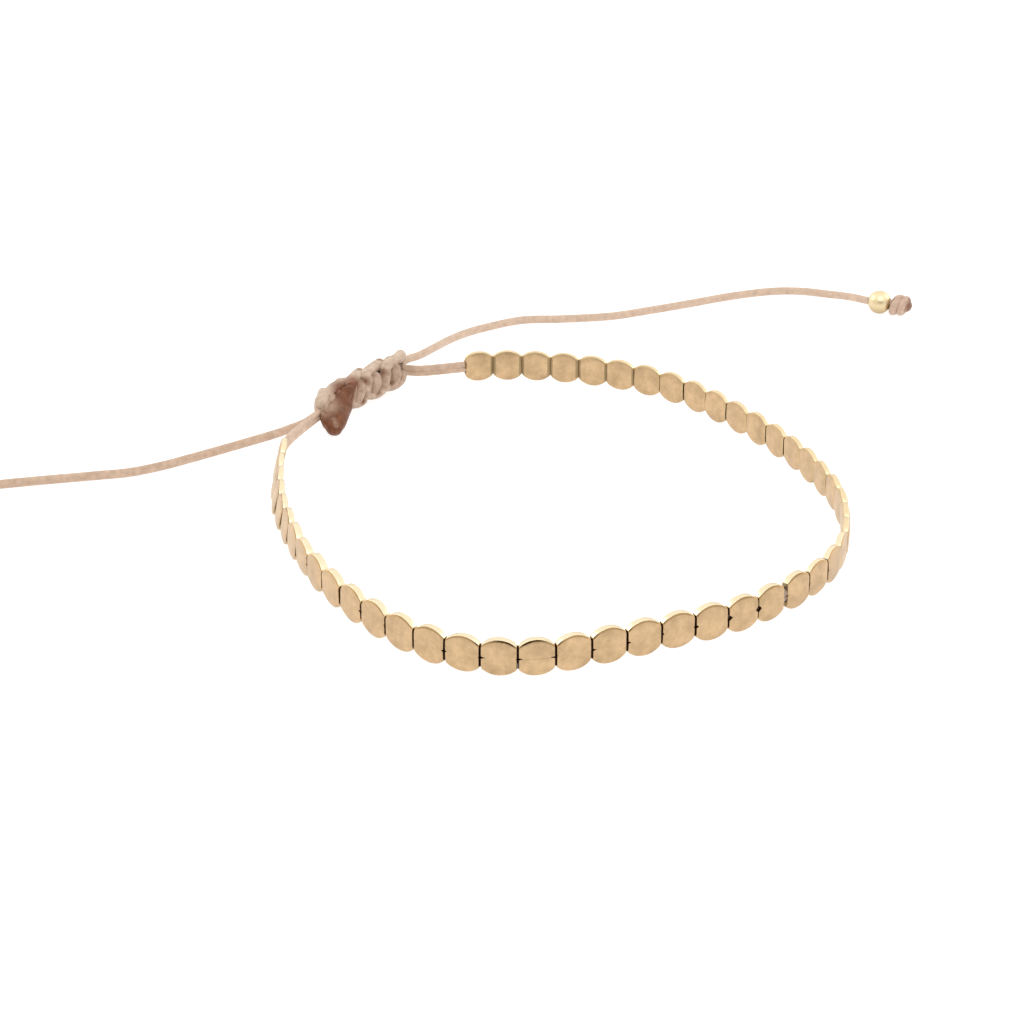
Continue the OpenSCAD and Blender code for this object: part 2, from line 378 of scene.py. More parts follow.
TAIL_CORD = cord_material("braided_cord", (0.67, 0.495, 0.375), (0.52, 0.375, 0.275))
CORD = cord_material("braided_cord_shaded", (0.62, 0.445, 0.33), (0.46, 0.32, 0.225))
# Painted shade: the strand where it shows in the wide gap between beads
SHADED_BARE_CORD = cord_material("bare_cord_painted_shade", (0.42, 0.31, 0.235), (0.20, 0.14, 0.10))
ROW_CORD = cord_material("shaded_cord", (0.16, 0.095, 0.055), (0.09, 0.05, 0.03))
# The knot's deep creases, darkened with painted shade, and where the melted end has stained its cord: centre,
# reach and tone
CREASE_SHADE_BROWN = (0.17, 0.068, 0.03)
CREASE_SHADES = [
    ((-21.1, 24.9, 3.4), 0.85), ((-19.3, 27.3, 3.45), 0.9), ((-17.1, 29.85, 3.2), 0.8),
    ((-21.9, 26.6, 3.85), 0.5), ((-19.8, 29.4, 3.85), 0.5), ((-21.4, 23.75, 1.4), 0.6),
    ((-19.7, 25.8, 1.65), 0.55), ((-18.2, 27.8, 1.9), 0.55),
]
KNOT_STAINS_AND_SHADES = [
    ((-23.4, 22.2, 3.3), (0.9, 2.1), (0.22, 0.095, 0.055)),
    ((-22.5, 24.0, 3.5), (0.5, 1.3), (0.27, 0.13, 0.08)),
] + [(centre, (0.1, reach), CREASE_SHADE_BROWN) for centre, reach in CREASE_SHADES]
KNOT_CORD = cord_material("knotted_cord", (0.64, 0.495, 0.38), (0.44, 0.32, 0.235), KNOT_STAINS_AND_SHADES)
# Painted shade: the knot's loops and lower bars, a darker copy of its cord
SHADED_LOOP_CORD = cord_material("looped_cord_painted_shade", (0.57, 0.415, 0.31), (0.33, 0.22, 0.155), KNOT_STAINS_AND_SHADES)
# Painted shade: the cords inside the knot, far darker than the same cord outside
SHADED_CORE_CORD = cord_material("core_cord_painted_shade", (0.20, 0.12, 0.075), (0.12, 0.065, 0.04))


# Loose tails, laid on the surface

def tail_route(points, turn):
    """Route of a tail through its ball, and the ball's centre, hole direction and far side."""
    way = np.array((math.cos(math.radians(turn)), math.sin(math.radians(turn)), 0))
    centre = np.array(points[-1]) + (BALL_R + BALL_CLEAR) * way
    tip = centre + (BALL_R + BALL_CLEAR) * way
    return np.concatenate((smooth_line(points, steps=10), [centre, tip])), centre, tip, way


def cord_tail(name, node, points, turn, material):
    route, centre, tip, way = tail_route(points, turn)
    line = spaced(route, CORD_STEP)
    verts, faces, uvs = sweep(line, TAIL_R, TAIL_R, TAIL_SIDES, round_ends=False)
    piece = make_piece(name, verts, faces, [material], [node], uvs=uvs)
    return piece, line, centre, tip, way


right_tail, right_line, right_ball_at, right_tip, right_way = cord_tail(
    "cord_tail_right", "tail_right", RIGHT_TAIL, RIGHT_END, TAIL_CORD
)
left_tail, left_line, left_ball_at, left_tip, left_way = cord_tail(
    "cord_tail_left", "tail_left", LEFT_TAIL, LEFT_END, CORD
)


# Balls: thin-walled turned beads with a rolled lip round each end of the bore

BORE_R = 0.56
LIP = 0.1
LIP_SINK = 0.02
LIP_START = 0.4
LIP_ANGLE = 0.06
BALL_TURNS = 72
BALL_STEPS = 40
LIP_STEPS = 5
BORE_STEPS = 8


def ball(name, node, centre, way):
    edge = math.asin(BORE_R / BALL_R) + LIP_ANGLE
    angles = np.linspace(edge, math.pi - edge, BALL_STEPS)
    profile = [(BALL_R * math.cos(a), BALL_R * math.sin(a)) for a in angles]
    x0, r0 = profile[0]
    roll = [
        (x0 - LIP / 2 * (1 - math.cos(a)) - LIP_SINK, r0 - LIP / 2 * math.sin(a) - LIP_SINK)
        for a in np.linspace(LIP_START, math.pi / 2, LIP_STEPS)
    ]
    inner = [(x, roll[-1][1]) for x in np.linspace(x0 - LIP, -(x0 - LIP), BORE_STEPS)]
    ring = profile + [(-x, r) for x, r in roll] + inner[::-1] + roll[::-1]
    side = unit(np.cross(UP, way))
    up = np.cross(way, side)
    verts = []
    for x, r in ring:
        for k in range(BALL_TURNS):
            a = 2 * math.pi * k / BALL_TURNS
            verts.append(centre + way * x + r * (math.cos(a) * side + math.sin(a) * up))
    faces = []
    kinds = []
    # The bore's inside gets the painted shade of the holes
    for i in range(len(ring)):
        j = (i + 1) % len(ring)
        in_bore = len(profile) + len(roll) - 1 <= i < len(ring) - len(roll)
        for k in range(BALL_TURNS):
            n = (k + 1) % BALL_TURNS
            faces.append((i * BALL_TURNS + k, j * BALL_TURNS + k, j * BALL_TURNS + n, i * BALL_TURNS + n))
            kinds.append(int(in_bore))
    return make_piece(name, verts, faces, [BALL_GOLD, HOLE_SHADE_GOLD], [node], kinds=kinds)


right_ball = ball("gold_ball_right", "tail_ball_right", right_ball_at, right_way)
left_ball = ball("gold_ball_left", "tail_ball_left", left_ball_at, left_way)


# Stopper knots: an overhand knot drawn tight behind each ball, its cut end melted

STOPPER_REACH = 1.1
STOPPER_DROP = 0.17
STOPPER_STEP = 0.1
KNOT_SIDES = 26
# Bands round the knot: middle, swing and its phase, radius, and turn of the start
BANDS = [(-0.42, 0.38, 0.9, 0.74, 0), (0.42, 0.30, 0.7, 0.70, 1.2)]
BAND_ANGLES = np.radians(np.arange(-60, 331, 30))
BRIDGE = [(-1.05, 0.5, -0.35), (-0.7, 0.62, 0.5), (-0.1, 0.2, 0.98), (0.5, -0.3, 0.92), (0.95, -0.6, 0.4)]
CUT_END = [(0.1, 0, 0), (0.6, 0.05, 0.06), (1.46, 0.05, 0.06)]
NECK = [(-1.25, 0, 0.1), (-0.6, 0, 0.05), (0.6, 0, 0)]
# Half width and half height of each
FIRST_SIZE = (0.58, 0.52)
SECOND_SIZE = (0.58, 0.51)
BRIDGE_SIZE = (0.40, 0.32)
CUT_END_SIZE = (0.90, 0.86)
NECK_SIZE = (0.7, 0.66)
STOPPER_TONES = ((0.64, 0.47, 0.36), (0.46, 0.32, 0.235))
# The stain of the cut end: distances along and up from the knot's middle, reach and tone
END_STAIN = (1.4, 0.2)
END_STAIN_REACH = (0.8, 1.2)
END_BROWN = (0.25, 0.125, 0.08)


def stopper(name, node, tip, way, flip):
    side = unit(np.cross(UP, way)) * flip
    up = np.cross(way, side) * flip
    centre = tip + way * STOPPER_REACH - UP * STOPPER_DROP

    def cord(stops, size, hint):
        points = [centre + way * x + side * y + up * z for x, y, z in stops]
        line = spaced(smooth_line(points, steps=8), STOPPER_STEP)
        return sweep(line, *size, KNOT_SIDES, hint=hint, depth=0.04)

    first, second = (
        [(middle + swing * math.cos(a - phase), r * math.cos(a), r * math.sin(a)) for a in BAND_ANGLES + turn]
        for middle, swing, phase, r, turn in BANDS
    )
    parts = [
        cord(first, FIRST_SIZE, way),
        cord(second, SECOND_SIZE, way),
        cord(BRIDGE, BRIDGE_SIZE, up),
        cord(CUT_END, CUT_END_SIZE, up),
        cord(NECK, NECK_SIZE, up),
    ]
    verts, faces, uvs = merge(parts)
    verts[:, 2] = np.maximum(verts[:, 2], LEAST_Z)
    stain_at = (centre + way * END_STAIN[0] + up * END_STAIN[1]).tolist()
    stains_and_shades = [(stain_at, END_STAIN_REACH, END_BROWN)]
    material = cord_material("cord_" + name, *STOPPER_TONES, stains_and_shades)
    return make_piece(name, verts, faces, [material], [node], uvs=uvs)


right_stopper = stopper("stopper_knot_right", "end_knot_right", right_tip, right_way, 1)
left_stopper = stopper("stopper_knot_left", "end_knot_left", left_tip, left_way, -1)


# Flat barrel beads, each at the place and lean of its CAD solid

# Outline, faces and how they curve. Beads outside FULL_BEADS are thinner
BEAD_HALF_W = 1.575
BEAD_HALF_H = 1.8
ARC_R = 2.445
HALF_T = 0.50
THINNER = 0.09
FULL_BEADS = range(24, 43)
DOME = 0.15
BOW = 0.07
CHAMFER_H = 0.16
CHAMFER_D = 0.08
EDGE_R = 0.035
SIDE_R = 0.06
CROWN = 0.02
# Reach and drop of the rounding at the outline's corners, at a seam and at the row's free ends
SEAM_ROUND = (0.1, 0.05)
FREE_ROUND = (0.4, 0.32)
FREE_WIDER = 0.1
FREE_R = 0.3
# The flattened hole, and what is left of its half thickness at its corners and middle
SLOT_HALF_H = 0.75
SLOT_HALF_T = 0.34
ROW_SLOT_HALF_T = 0.21
SLOT_ROUND = 0.2
SLOT_CORNER = 0.4
SLOT_MIDDLE = 0.2
SLOT_TAPER = 0.1
# End walls: how far they lie in, and what they keep of the bead's thickness and height
WALL_BAND = 0.2
FREE_WALL_IN = 0.12
SHUT_WALL = 0.7
OPEN_WALL = 0.5
WALL_HIGH = 0.97
# Seams between beads. A gap has the number of the bead before it
SEAM_HALF = 0.005
MOST_WIDER = 0.2
WIDE_SEAM = {24, 25}
COLUMN_GAPS = 6
# Beyond COLUMN_GAPS and up to this gap, inner bevels and shut walls take the lighter painted shade
PALE_GAPS = 22
COLUMN_OPEN = 0.012
SHUT_OPEN = 0.03
USUAL_OPEN = 0.085
SEAM_FACE = 0.98
# Bevels of the inner faces: last gap, width, and the part of the half width where they start
INNER_BEVELS = [(4, 0.3, 0.81), (6, 0.22, 0.86), (BEADS, 0.1, 0.92)]
INNER_DROP = 0.45
# Mesh lines over a half bead, as parts of its half width and half height
STATIONS = [0, 0.25, 0.5, 0.7, 0.80, 0.82, 0.89, 0.93, 0.955, 0.975, 0.99, 1]
LEVELS = [0, 0.025, 0.05, 0.085, 0.13, 0.19, 0.27, 0.38, 0.52, 0.67, 0.8, 0.91, 1]
# Lines up to this part of the half width don't move with the notches
FIXED_STATIONS = 0.7
RIM_STEPS = 4
ROUND_STEPS = 3
BEAD_LEAST_Z = 0.005
# The last bead whose rim has the back row's warmer, dimmer tone: painted shade over the rims' painted
# highlight
BACK_ROW = 20
# Small differences from bead to bead
FIRST_SEED = 500
SEED_STEP = 7.7
SMALL_NOTCH = ((0, 0.10), (0, 0.14), (0.07, 0.11))
MIDDLE_OFF = 0.08
TILT_OFF = 0.03
THICK_OFF = 0.015
GROOVE_HALF = 0.05
NOTCH_POWER = 0.8
# Unevenness of the faces: waves per millimetre, layer of the noise, and height
WAVES = [(0.9, 3.1, 0.026), (2.4, 8.3, 0.008)]
# Places of the materials in a bead's list
FACE, RIM, HOLE, BEVEL, EDGE, SEAM, COLUMN = range(7)
# Open ends of the outer face's middle line: bead, then the depth before, the depth after and the height
NOTCHES = {
    25: (0.0, 0.32, 0.30), 26: (0.26, 0.36, 0.26), 27: (0.04, 0.22, 0.14), 29: (0.0, 0.26, 0.10),
    30: (0.0, 0.34, 0.10), 31: (0.0, 0.05, 0.10), 32: (0.44, 0.34, 0.09), 33: (0.05, 0.38, 0.10),
    34: (0.05, 0.18, 0.09), 35: (0.2, 0.05, 0.10), 38: (0.25, 0.0, 0.11), 41: (0.2, 0.1, 0.10),
}
GROOVES = {26: 0.03, 32: 0.02, 33: 0.008, 28: 0.005, 36: 0.006}
# Gaps that look shut or stand open, by the bead before them
SHUT = {1, 2, 3, 4, 5, 6, 7, 9, 11, 14, 15, 17, 18, 19, 20, 21, 24, 43, 44, 45, 46, 47}
OPEN = {22: 0.17, 23: 0.17}
# Inward lean in degrees, and distance outward, that single beads have beyond their CAD solid's
LEANS = {42: 4, 43: 8, 44: 12, 45: 14, 46: 15, 47: 14, 48: 12}
SHIFTS = {
    18: -0.15, 19: -0.25, 20: -0.35, 21: -0.4, 22: -0.38, 23: -0.3, 24: -0.2, 25: -0.1,
    43: 0.1, 44: 0.25, 45: 0.35, 46: 0.35, 47: 0.25, 48: 0.1,
}


def bead_axes(node):
    """Centre and axes of a bead's CAD solid: along the row, outward, and up."""
    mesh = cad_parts[node].data
    points = np.empty(len(mesh.vertices) * 3)
    mesh.vertices.foreach_get("co", points)
    points = points.reshape(-1, 3) / MM
    mesh.calc_loop_triangles()
    index = np.empty(len(mesh.loop_triangles) * 3, dtype=np.int32)
    mesh.loop_triangles.foreach_get("vertices", index)
    corner = points[index].reshape(-1, 3, 3)
    area = np.linalg.norm(np.cross(corner[:, 1] - corner[:, 0], corner[:, 2] - corner[:, 0]), axis=1)
    centre = (points.min(axis=0) + points.max(axis=0)) / 2
    middle = corner.mean(axis=1) - centre
    spread = (middle * area[:, None]).T @ middle
    outward = np.linalg.eigh(spread)[1][:, 0]
    if np.dot(outward[:2], centre[:2]) < 0:
        outward = -outward
    along = unit(np.cross(outward, UP))
    return centre, along, outward, np.cross(along, outward)


def bead_place(number):
    centre, along, outward, up = bead_axes("bead_%02d" % number)
    lean = math.radians(LEANS.get(number, 0))
    turned = outward * math.cos(lean) + up * math.sin(lean)
    return centre + SHIFTS.get(number, 0) * outward, along, turned, np.cross(along, turned)


BEAD_PLACES = [bead_place(i) for i in range(1, BEADS + 1)]


def seam_open(gap):
    """Width of a gap's opening on either side of its middle."""
    if gap <= COLUMN_GAPS:
        return COLUMN_OPEN
    return SHUT_OPEN if gap in SHUT else OPEN.get(gap, USUAL_OPEN)


def inner_bevel(gap):
    """Width of the inner faces' bevel at a gap, and the part of the half width where it starts."""
    return next((width, start) for last_gap, width, start in INNER_BEVELS if gap <= last_gap)


def side_width(i, step):
    """Bead i's half width up to its seam on one side, and how that grows outward with the row's turn."""
    j = i + step
    if not 0 <= j < BEADS:
        return BEAD_HALF_W + FREE_WIDER, 0
    if {i + 1, j + 1} == WIDE_SEAM:
        return BEAD_HALF_W, 0
    centre, along, outward, _ = BEAD_PLACES[i]
    far_centre, far_along, _, _ = BEAD_PLACES[j]
    normal = unit(along + far_along) * step
    slope = np.dot(along, normal) * step
    width = (np.dot(far_centre - centre, normal) / 2 - SEAM_HALF) / slope
    if width > BEAD_HALF_W + MOST_WIDER:
        return BEAD_HALF_W + MOST_WIDER, 0
    return width, -np.dot(outward, normal) / slope / width


def bead_mesh(number, widths, grows, rng):
    """One bead round the origin: its hole along X, its outer face towards +Y."""
    spare = tuple(rng.uniform(*span) for span in SMALL_NOTCH)
    before, after, gape = NOTCHES.get(number, spare)
    # What differs between the side before, -1, and the side after, 1
    gaps = {-1: number - 1, 1: number}
    notch = {-1: before, 1: after}
    free = {-1: number == 1, 1: number == BEADS}
    wide = {-1: number == max(WIDE_SEAM), 1: number == min(WIDE_SEAM)}
    bevels = {sign: inner_bevel(gap) for sign, gap in gaps.items()}
    opens = {sign: seam_open(gap) for sign, gap in gaps.items()}
    shut = {sign: gap in SHUT or free[sign] for sign, gap in gaps.items()}
    column = {sign: COLUMN if COLUMN_GAPS < gap <= PALE_GAPS else BEVEL for sign, gap in gaps.items()}
    slot_half = {sign: SLOT_HALF_T if free[sign] or wide[sign] else ROW_SLOT_HALF_T for sign in gaps}
    middle = rng.uniform(-MIDDLE_OFF, MIDDLE_OFF)
    groove = GROOVES.get(number, 0)
    tilt = rng.uniform(-TILT_OFF, TILT_OFF)
    thick = HALF_T + rng.uniform(-THICK_OFF, THICK_OFF) - (0 if number in FULL_BEADS else THINNER)
    seed = SEED_STEP * number
    stations = sorted({-s for s in STATIONS} | set(STATIONS))
    levels = sorted({-t for t in LEVELS} | set(LEVELS))

    def top(x, sign):
        """Height of the outline."""
        arc = BEAD_HALF_H - ARC_R + math.sqrt(ARC_R**2 - x**2)
        reach, drop = FREE_ROUND if free[sign] else SEAM_ROUND
        near = max(0, abs(x) - (widths[sign] - reach)) / reach
        return arc - drop * (1 - math.sqrt(max(0, 1 - near**2)))

    def spot(s, z, outer):
        """Distance along the row and what is left to the end, with the notches of the middle line."""
        sign = 1 if s > 0 else -1
        width = widths[sign] - opens[sign]
        end = width
        if outer:
            end -= notch[sign] * max(0, 1 - abs(z - middle) / gape) ** NOTCH_POWER
        fixed = FIXED_STATIONS * width
        if abs(s) <= FIXED_STATIONS:
            return s * width, end - abs(s) * width
        x = fixed + (abs(s) - FIXED_STATIONS) / (1 - FIXED_STATIONS) * (end - fixed)
        return sign * x, end - x

    def face_y(x, z, left, outer):
        """Distance of a face from the middle plane."""
        sign = 1 if x > 0 else -1
        y = thick - DOME * abs(z / BEAD_HALF_H) ** 3 - BOW * abs(x / BEAD_HALF_W) ** 3
        for rate, layer, size in WAVES:
            y += noise.noise(Vector((x * rate + seed, z * rate, layer))) * size
        if outer or free[sign]:
            r = FREE_R if free[sign] else SIDE_R
            near = max(0, 1 - left / r)
            return y - r * (1 - math.sqrt(max(0, 1 - near**2)))
        return y - INNER_DROP * max(0, bevels[sign][0] - left)

    def rounded(ring, slot, x, side, rise, edge, high, half, k):
        """A step of the rounding from one face to the rim, and the slot's point behind it."""
        a = math.pi / 2 * k / ROUND_STEPS
        y = edge[side] - EDGE_R * (1 - math.cos(a))
        ring.append((x, side * y, rise * (high - EDGE_R + EDGE_R * math.sin(a))))
        slot.append((x, side * SLOT_CORNER * half * (1 - SLOT_TAPER * k), rise * SLOT_HALF_H))

    rings = []
    slots = []
    for s in stations:
        ring = []
        slot = []
        sign = 1 if s > 0 else -1
        half = slot_half[sign]
        high = top(s * widths[sign], sign)
        flat_z = high - EDGE_R - CHAMFER_H
        x = s * (widths[sign] - opens[sign])
        edge = {}
        for face in (1, -1):
            _, left = spot(s, flat_z, face > 0)
            edge[face] = face_y(x, flat_z, left, face > 0) - CHAMFER_D
        for face in (1, -1):
            for t in levels if face > 0 else levels[::-1]:
                z = t * flat_z
                xf, left = spot(s, z, face > 0)
                y = face_y(xf, z, left, face > 0)
                if face > 0:
                    y -= groove * math.exp(-((z - middle - tilt * xf) / GROOVE_HALF) ** 2)
                ring.append((xf, face * y, z))
                inner = max(-SLOT_HALF_H, min(SLOT_HALF_H, z))
                xi, _ = spot(s, inner, face > 0)
                corner = max(0, abs(inner) - (SLOT_HALF_H - SLOT_ROUND)) / SLOT_ROUND
                round_part = (1 - SLOT_CORNER) * math.sqrt(max(0, 1 - corner**2))
                slot.append((xi, face * half * (SLOT_CORNER + round_part), inner))
            for k in range(ROUND_STEPS + 1):
                rounded(ring, slot, x, face, face, edge, high, half, k)
            start = edge[face] - EDGE_R
            stop = -(edge[-face] - EDGE_R)
            for k in range(1, RIM_STEPS):
                f = k / RIM_STEPS
                crown = CROWN * (1 - (2 * f - 1) ** 2)
                ring.append((x, face * (start + (stop - start) * f), face * (high + crown)))
                slot.append((x, face * SLOT_MIDDLE * half * (1 - 2 * f), face * SLOT_HALF_H))
            for k in range(ROUND_STEPS, -1, -1):
                rounded(ring, slot, x, -face, face, edge, high, half, k)
        rings.append(ring)
        slots.append(slot)
    around = len(rings[0])
    per_face = around // 2
    walls = []
    for ring, sign in ((rings[0], -1), (rings[-1], 1)):
        reach = widths[sign] - (FREE_WALL_IN if free[sign] else 0)
        inward = SHUT_WALL if shut[sign] else OPEN_WALL
        walls.append([
            (x if abs(x) < reach - WALL_BAND else sign * reach, inward * y, WALL_HIGH * z) for x, y, z in ring
        ])
    verts = np.array([p for ring in rings + slots + walls for p in ring])
    # The beads are wedges, because the row turns
    verts[:, 0] *= np.where(verts[:, 0] > 0, 1 + grows[1] * verts[:, 1], 1 + grows[-1] * verts[:, 1])
    faces = []
    kinds = []
    shift = len(rings) * around
    # Painted light on the quads: a painted dark reflection on the outer chamfer, and painted shade on the
    # inner chamfer, the inner bevels, the face strips at open seams and the hole
    for i in range(len(rings) - 1):
        least = min(abs(stations[i]), abs(stations[i + 1]))
        sign = 1 if stations[i] + stations[i + 1] > 0 else -1
        bevelled = least > bevels[sign][1] and not free[sign]
        for k in range(around):
            n = (k + 1) % around
            a = i * around
            b = a + around
            faces.append((a + k, b + k, b + n, a + n))
            if k == len(levels) - 1:
                kinds.append(EDGE)
            elif k == per_face - 1:
                kinds.append(COLUMN)
            elif k % per_face >= len(levels) - 1:
                kinds.append(RIM if k < per_face else FACE)
            elif k >= per_face:
                kinds.append(column[sign] if bevelled else FACE)
            else:
                kinds.append(SEAM if least > SEAM_FACE and not shut[sign] else FACE)
            faces.append((shift + a + n, shift + b + n, shift + b + k, shift + a + k))
            kinds.append(HOLE)
    last = (len(rings) - 1) * around
    wall = 2 * shift
    far = wall + around
    # End walls are painted in shade: deep at open seams, lighter at shut ones
    near_kind, far_kind = (column[sign] if shut[sign] else SEAM for sign in (-1, 1))
    for k in range(around):
        n = (k + 1) % around
        faces.append((k, n, wall + n, wall + k))
        faces.append((wall + k, wall + n, shift + n, shift + k))
        faces.append((last + n, last + k, far + k, far + n))
        faces.append((far + n, far + k, shift + last + k, shift + last + n))
        kinds += [near_kind] * 2 + [far_kind] * 2
    return verts, faces, kinds


for i, (centre, along, outward, up) in enumerate(BEAD_PLACES):
    node = "bead_%02d" % (i + 1)
    sides = {step: side_width(i, step) for step in (1, -1)}
    widths = {step: side[0] for step, side in sides.items()}
    grows = {step: side[1] for step, side in sides.items()}
    verts, faces, kinds = bead_mesh(i + 1, widths, grows, random.Random(FIRST_SEED + i))
    place = centre + verts @ np.array((along, outward, up))
    place[:, 2] += max(0, BEAD_LEAST_Z - place[:, 2].min())
    # Rims carry a painted highlight, dimmed by painted shade on the back row
    rim = BACK_RIM_SHADE_GOLD if i < BACK_ROW else RIM_GOLD
    golds = [FACE_GOLD, rim, HOLE_SHADE_GOLD, BEVEL_GOLD, EDGE_REFLECTION_GOLD, SEAM_SHADE_GOLD, COLUMN_SHADE_GOLD]
    make_piece("gold_" + node, place, faces, golds, [node], kinds=kinds)


# Strand through the beads: two flattened braids, one above the other

# Where the route meets each bead, on either side of its middle
ROW_REACH = 1.2
# Lengths of the strand at its two ends whose points lie as close as the tails' do, and the step between
RIGHT_CLOSE = 7.0
LEFT_CLOSE = 12.5
ROW_STEP = 0.2
STRAND_HALF_W = 0.31
STRAND_SLIMMER = 0.16
STRAND_HALF_H = 0.375
STRAND_APART = 0.27
STRAND_SIDES = 20
# How far outside the row the strand gets slimmer, over which length, and where its painted shade changes
SLIM_BEFORE = 0.2
SLIM_OVER = 0.8
BARE_REACH = 0.9
ROW_TONE_REACH = 1.4
LEFT_TONE_REACH = 1
RIGHT_TONE, ROW_TONE, BARE_SHADE_TONE, LEFT_TONE = range(4)


def strand():
    row = [centre + along * reach for centre, along, _, _ in BEAD_PLACES for reach in (-ROW_REACH, ROW_REACH)]
    route = smooth_line(RIGHT_LEAD[:-1] + [tuple(p) for p in row] + LEFT_LEAD, steps=6)
    total = line_length(route)[-1]
    row_end = total - LEFT_CLOSE
    line = resample(route, np.concatenate((
        np.arange(0, RIGHT_CLOSE, CORD_STEP),
        np.arange(RIGHT_CLOSE, row_end, ROW_STEP),
        np.arange(row_end, total, CORD_STEP),
    )))
    _, up = frames(line, UP)
    first = BEAD_PLACES[0][0]
    last = BEAD_PLACES[-1][0]
    bare = (BEAD_PLACES[min(WIDE_SEAM) - 1][0] + BEAD_PLACES[max(WIDE_SEAM) - 1][0]) / 2
    s = line_length(line)

    def reached(spot):
        """Distance along the strand of its point nearest to a spot."""
        return s[np.argmin(np.linalg.norm(line - spot, axis=1))]

    into_row = (np.minimum(s - reached(first), reached(last) - s) + SLIM_BEFORE) / SLIM_OVER
    from_bare = (np.abs(s - reached(bare)) - BARE_REACH) / SLIM_OVER
    across = STRAND_HALF_W - STRAND_SLIMMER * np.clip(np.minimum(into_row, from_bare), 0, 1)
    parts = []
    for sign in (1, -1):
        parts.append(sweep(
            line + sign * STRAND_APART * up, across, STRAND_HALF_H, STRAND_SIDES,
            carriers=8, cell=0.3, depth=0.02, start=sign, round_ends=False,
        ))
    verts, faces, uvs = merge(parts)
    # Painted shade: the strand is darker in the wide gap and darker still inside the row
    kinds = []
    for face in faces:
        at = verts[face[0]]
        if np.linalg.norm(at - bare) < BARE_REACH:
            kinds.append(BARE_SHADE_TONE)
        elif at[0] > first[0] - ROW_TONE_REACH or at[1] < last[1] + ROW_TONE_REACH:
            kinds.append(ROW_TONE)
        elif at[0] < KNOT_LEFT[0] + LEFT_TONE_REACH:
            kinds.append(LEFT_TONE)
        else:
            kinds.append(RIGHT_TONE)
    cords = [CORD, ROW_CORD, SHADED_BARE_CORD, TAIL_CORD]
    make_piece("cord_strand", verts, faces, cords, ["strand_cord"], kinds=kinds, uvs=uvs)


strand()


# Sliding knot: square knots tied round the crossing cords, in blocks with a crease between them

KNOT_AXIS = unit(KNOT_RIGHT - KNOT_LEFT)
KNOT_FRONT = unit(np.array((0.665, -0.514, 0.542)))
KNOT_TOP = np.cross(KNOT_FRONT, KNOT_AXIS)
# Cords of the knot, each as stops of distance along the axis, angle from the front, and radius
BARS = [
    [
        (-2.3, -8, 0.9), (-2.0, 12, 1.28), (-1.4, 30, 1.40), (-0.6, 50, 1.36), (-0.1, 80, 1.2),
        (0.2, 115, 1.0),
    ],
    [
        (-0.9, 22, 1.1), (-0.2, 40, 1.40), (0.9, 50, 1.50), (2.0, 58, 1.50), (2.9, 80, 1.4),
        (3.3, 115, 1.2), (3.5, 150, 1),
    ],
    [
        (2.5, 25, 1.1), (3.2, 40, 1.50), (4.3, 52, 1.58), (5.5, 68, 1.56), (6.3, 85, 1.5),
        (6.8, 115, 1.3), (7.0, 150, 1),
    ],
    [
        (5.3, 28, 1.1), (6.0, 42, 1.50), (7.2, 54, 1.60), (8.8, 68, 1.56), (9.8, 85, 1.5),
        (10.3, 115, 1.3), (10.5, 150, 1),
    ],
    [
        (8.6, 18, 1.1), (9.2, 32, 1.48), (10.5, 42, 1.60), (11.9, 48, 1.62), (12.9, 64, 1.5),
        (13.4, 90, 1.3), (13.4, 130, 1.0),
    ],
]
LOOPS = [
    [(-1.1, 44, 0.9), (-1.5, 10, 1.28), (-1.9, -20, 1.3), (-1.9, -50, 1.25), (-1.7, -80, 1.0)],
    [
        (0.2, 52, 0.8), (-0.3, 18, 1.3), (-0.7, -6, 1.38), (-0.9, -34, 1.38), (-1.0, -58, 1.25),
        (-0.9, -85, 1.0),
    ],
    [(1.3, 52, 0.7), (0.9, 16, 1.3), (0.4, -12, 1.42), (0.0, -38, 1.4), (-0.2, -60, 1.25), (0.0, -85, 1.0)],
    [(3.7, 46, 0.95), (3.1, 16, 1.38), (2.5, -8, 1.42), (2.1, -36, 1.4), (1.9, -56, 1.25), (2.0, -85, 1.0)],
    [(4.9, 44, 0.95), (4.4, 10, 1.38), (3.9, -16, 1.42), (3.5, -40, 1.4), (3.4, -60, 1.25), (3.4, -85, 1.0)],
    [(6.6, 46, 0.95), (5.8, 18, 1.38), (5.2, -4, 1.42), (4.8, -30, 1.4), (4.8, -54, 1.25), (5.0, -85, 1.0)],
    [(7.7, 44, 0.95), (7.1, 11, 1.38), (6.7, -14, 1.42), (6.3, -38, 1.4), (6.2, -58, 1.25), (6.4, -85, 1.0)],
    [(9.5, 42, 0.95), (8.9, 12, 1.38), (8.3, -10, 1.42), (8.0, -32, 1.4), (8.0, -54, 1.25), (8.2, -85, 1.0)],
    [
        (11.1, 40, 0.95), (10.5, 6, 1.38), (10.1, -20, 1.42), (9.7, -44, 1.4), (9.6, -62, 1.25),
        (9.8, -85, 1.0),
    ],
]
LOWER_BARS = [
    [(-1.8, -44, 0.9), (-1.7, -56, 1.4), (-0.9, -66, 1.5), (-0.2, -62, 1.5), (0.2, -48, 1.1)],
    [(-0.1, -42, 0.9), (0.1, -55, 1.5), (1.2, -66, 1.62), (2.1, -60, 1.6), (2.3, -45, 1.1)],
    [(2.1, -40, 0.9), (2.2, -52, 1.5), (3.4, -66, 1.66), (4.4, -60, 1.64), (4.8, -44, 1.1)],
    [(4.8, -36, 0.9), (4.9, -47, 1.5), (6.3, -62, 1.68), (7.4, -60, 1.66), (7.8, -44, 1.1)],
    [
        (7.9, -40, 0.9), (8.0, -50, 1.5), (9.6, -66, 1.66), (10.8, -58, 1.62), (11.2, -34, 1.55),
        (11.2, -10, 1.2),
    ],
]
